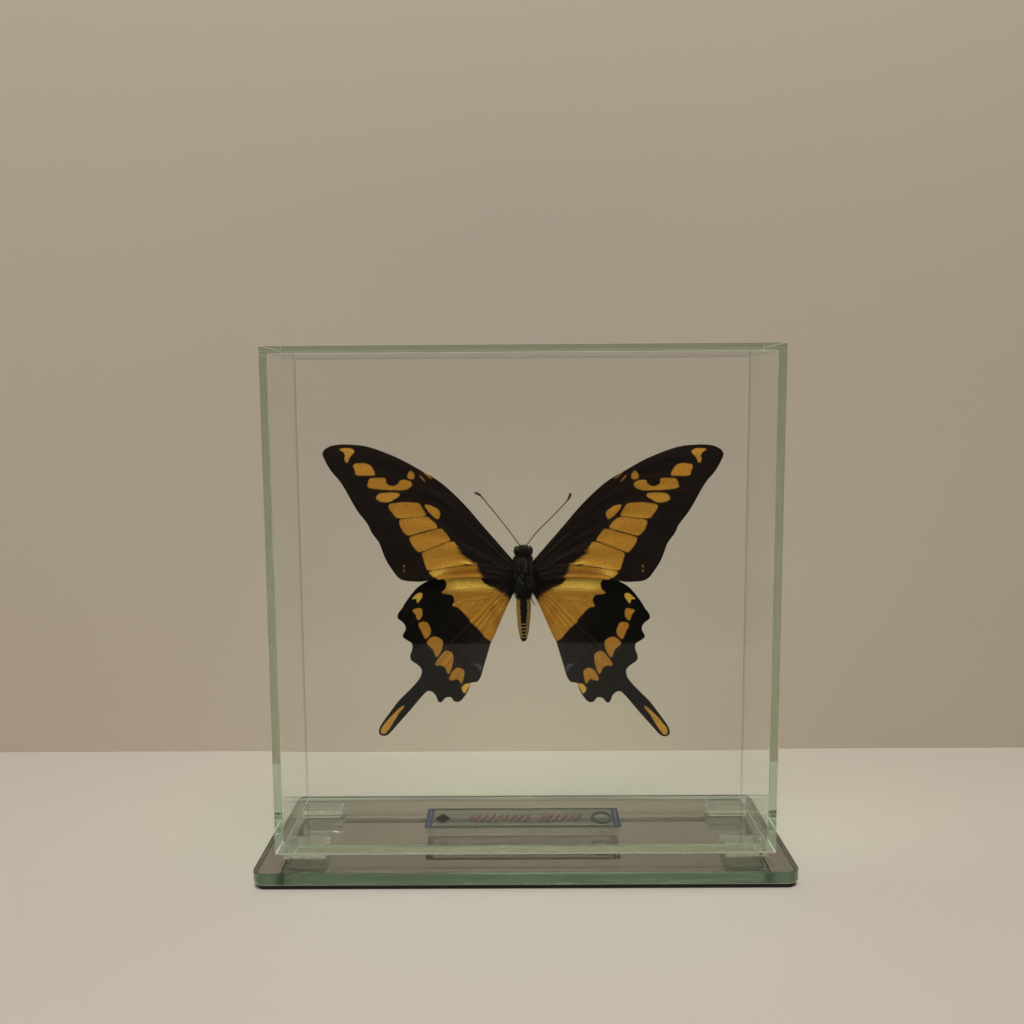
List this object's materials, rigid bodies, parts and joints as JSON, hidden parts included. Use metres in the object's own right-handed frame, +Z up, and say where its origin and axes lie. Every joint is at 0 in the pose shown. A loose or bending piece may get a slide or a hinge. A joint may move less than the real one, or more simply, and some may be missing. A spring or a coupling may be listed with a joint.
{
  "type": "framed butterfly specimen",
  "caption": "Spread black butterfly with yellow bands and tailed hindwings, held on a clear peg in a slim sealed glass case that stands on spacers above a mirror-glass base.",
  "frame": {"origin": "on the surface it stands on, under the middle of the base", "axes": "+Z up, the front of the case faces -Y and +X is to the right of someone looking at the front"},
  "size_m": [0.1616, 0.0586, 0.1585],
  "materials": {
    "pad": "matt black felt",
    "silver": "silvered underside of the base plate",
    "base_glass": "clear float glass, green at its polished edges",
    "spacer": "clear cast acrylic with sawn sides",
    "case_glass": "clear float glass, pale green at its ground edges",
    "label": "clear printed film",
    "peg": "clear acrylic rod",
    "body": "dark down with pale yellow sides",
    "antenna": "dark dried chitin",
    "wing": "fine matt scales, black with orange-yellow bands"
  },
  "bodies": {
    "root": {"backing_pad": "pad", "mirror_silvering": "silver", "base_plate": "base_glass", "spacer_front_left": "spacer", "spacer_front_right": "spacer", "spacer_back_left": "spacer", "spacer_back_right": "spacer", "pane_floor": "case_glass", "pane_top": "case_glass", "pane_front": "case_glass", "pane_back": "case_glass", "pane_left": "case_glass", "pane_right": "case_glass", "label_film": "label", "support_peg": "peg", "body": "body", "antenna_left": "antenna", "antenna_right": "antenna", "forewing_left": "wing", "forewing_right": "wing", "hindwing_left": "wing", "hindwing_right": "wing"}
  },
  "joints": []
}
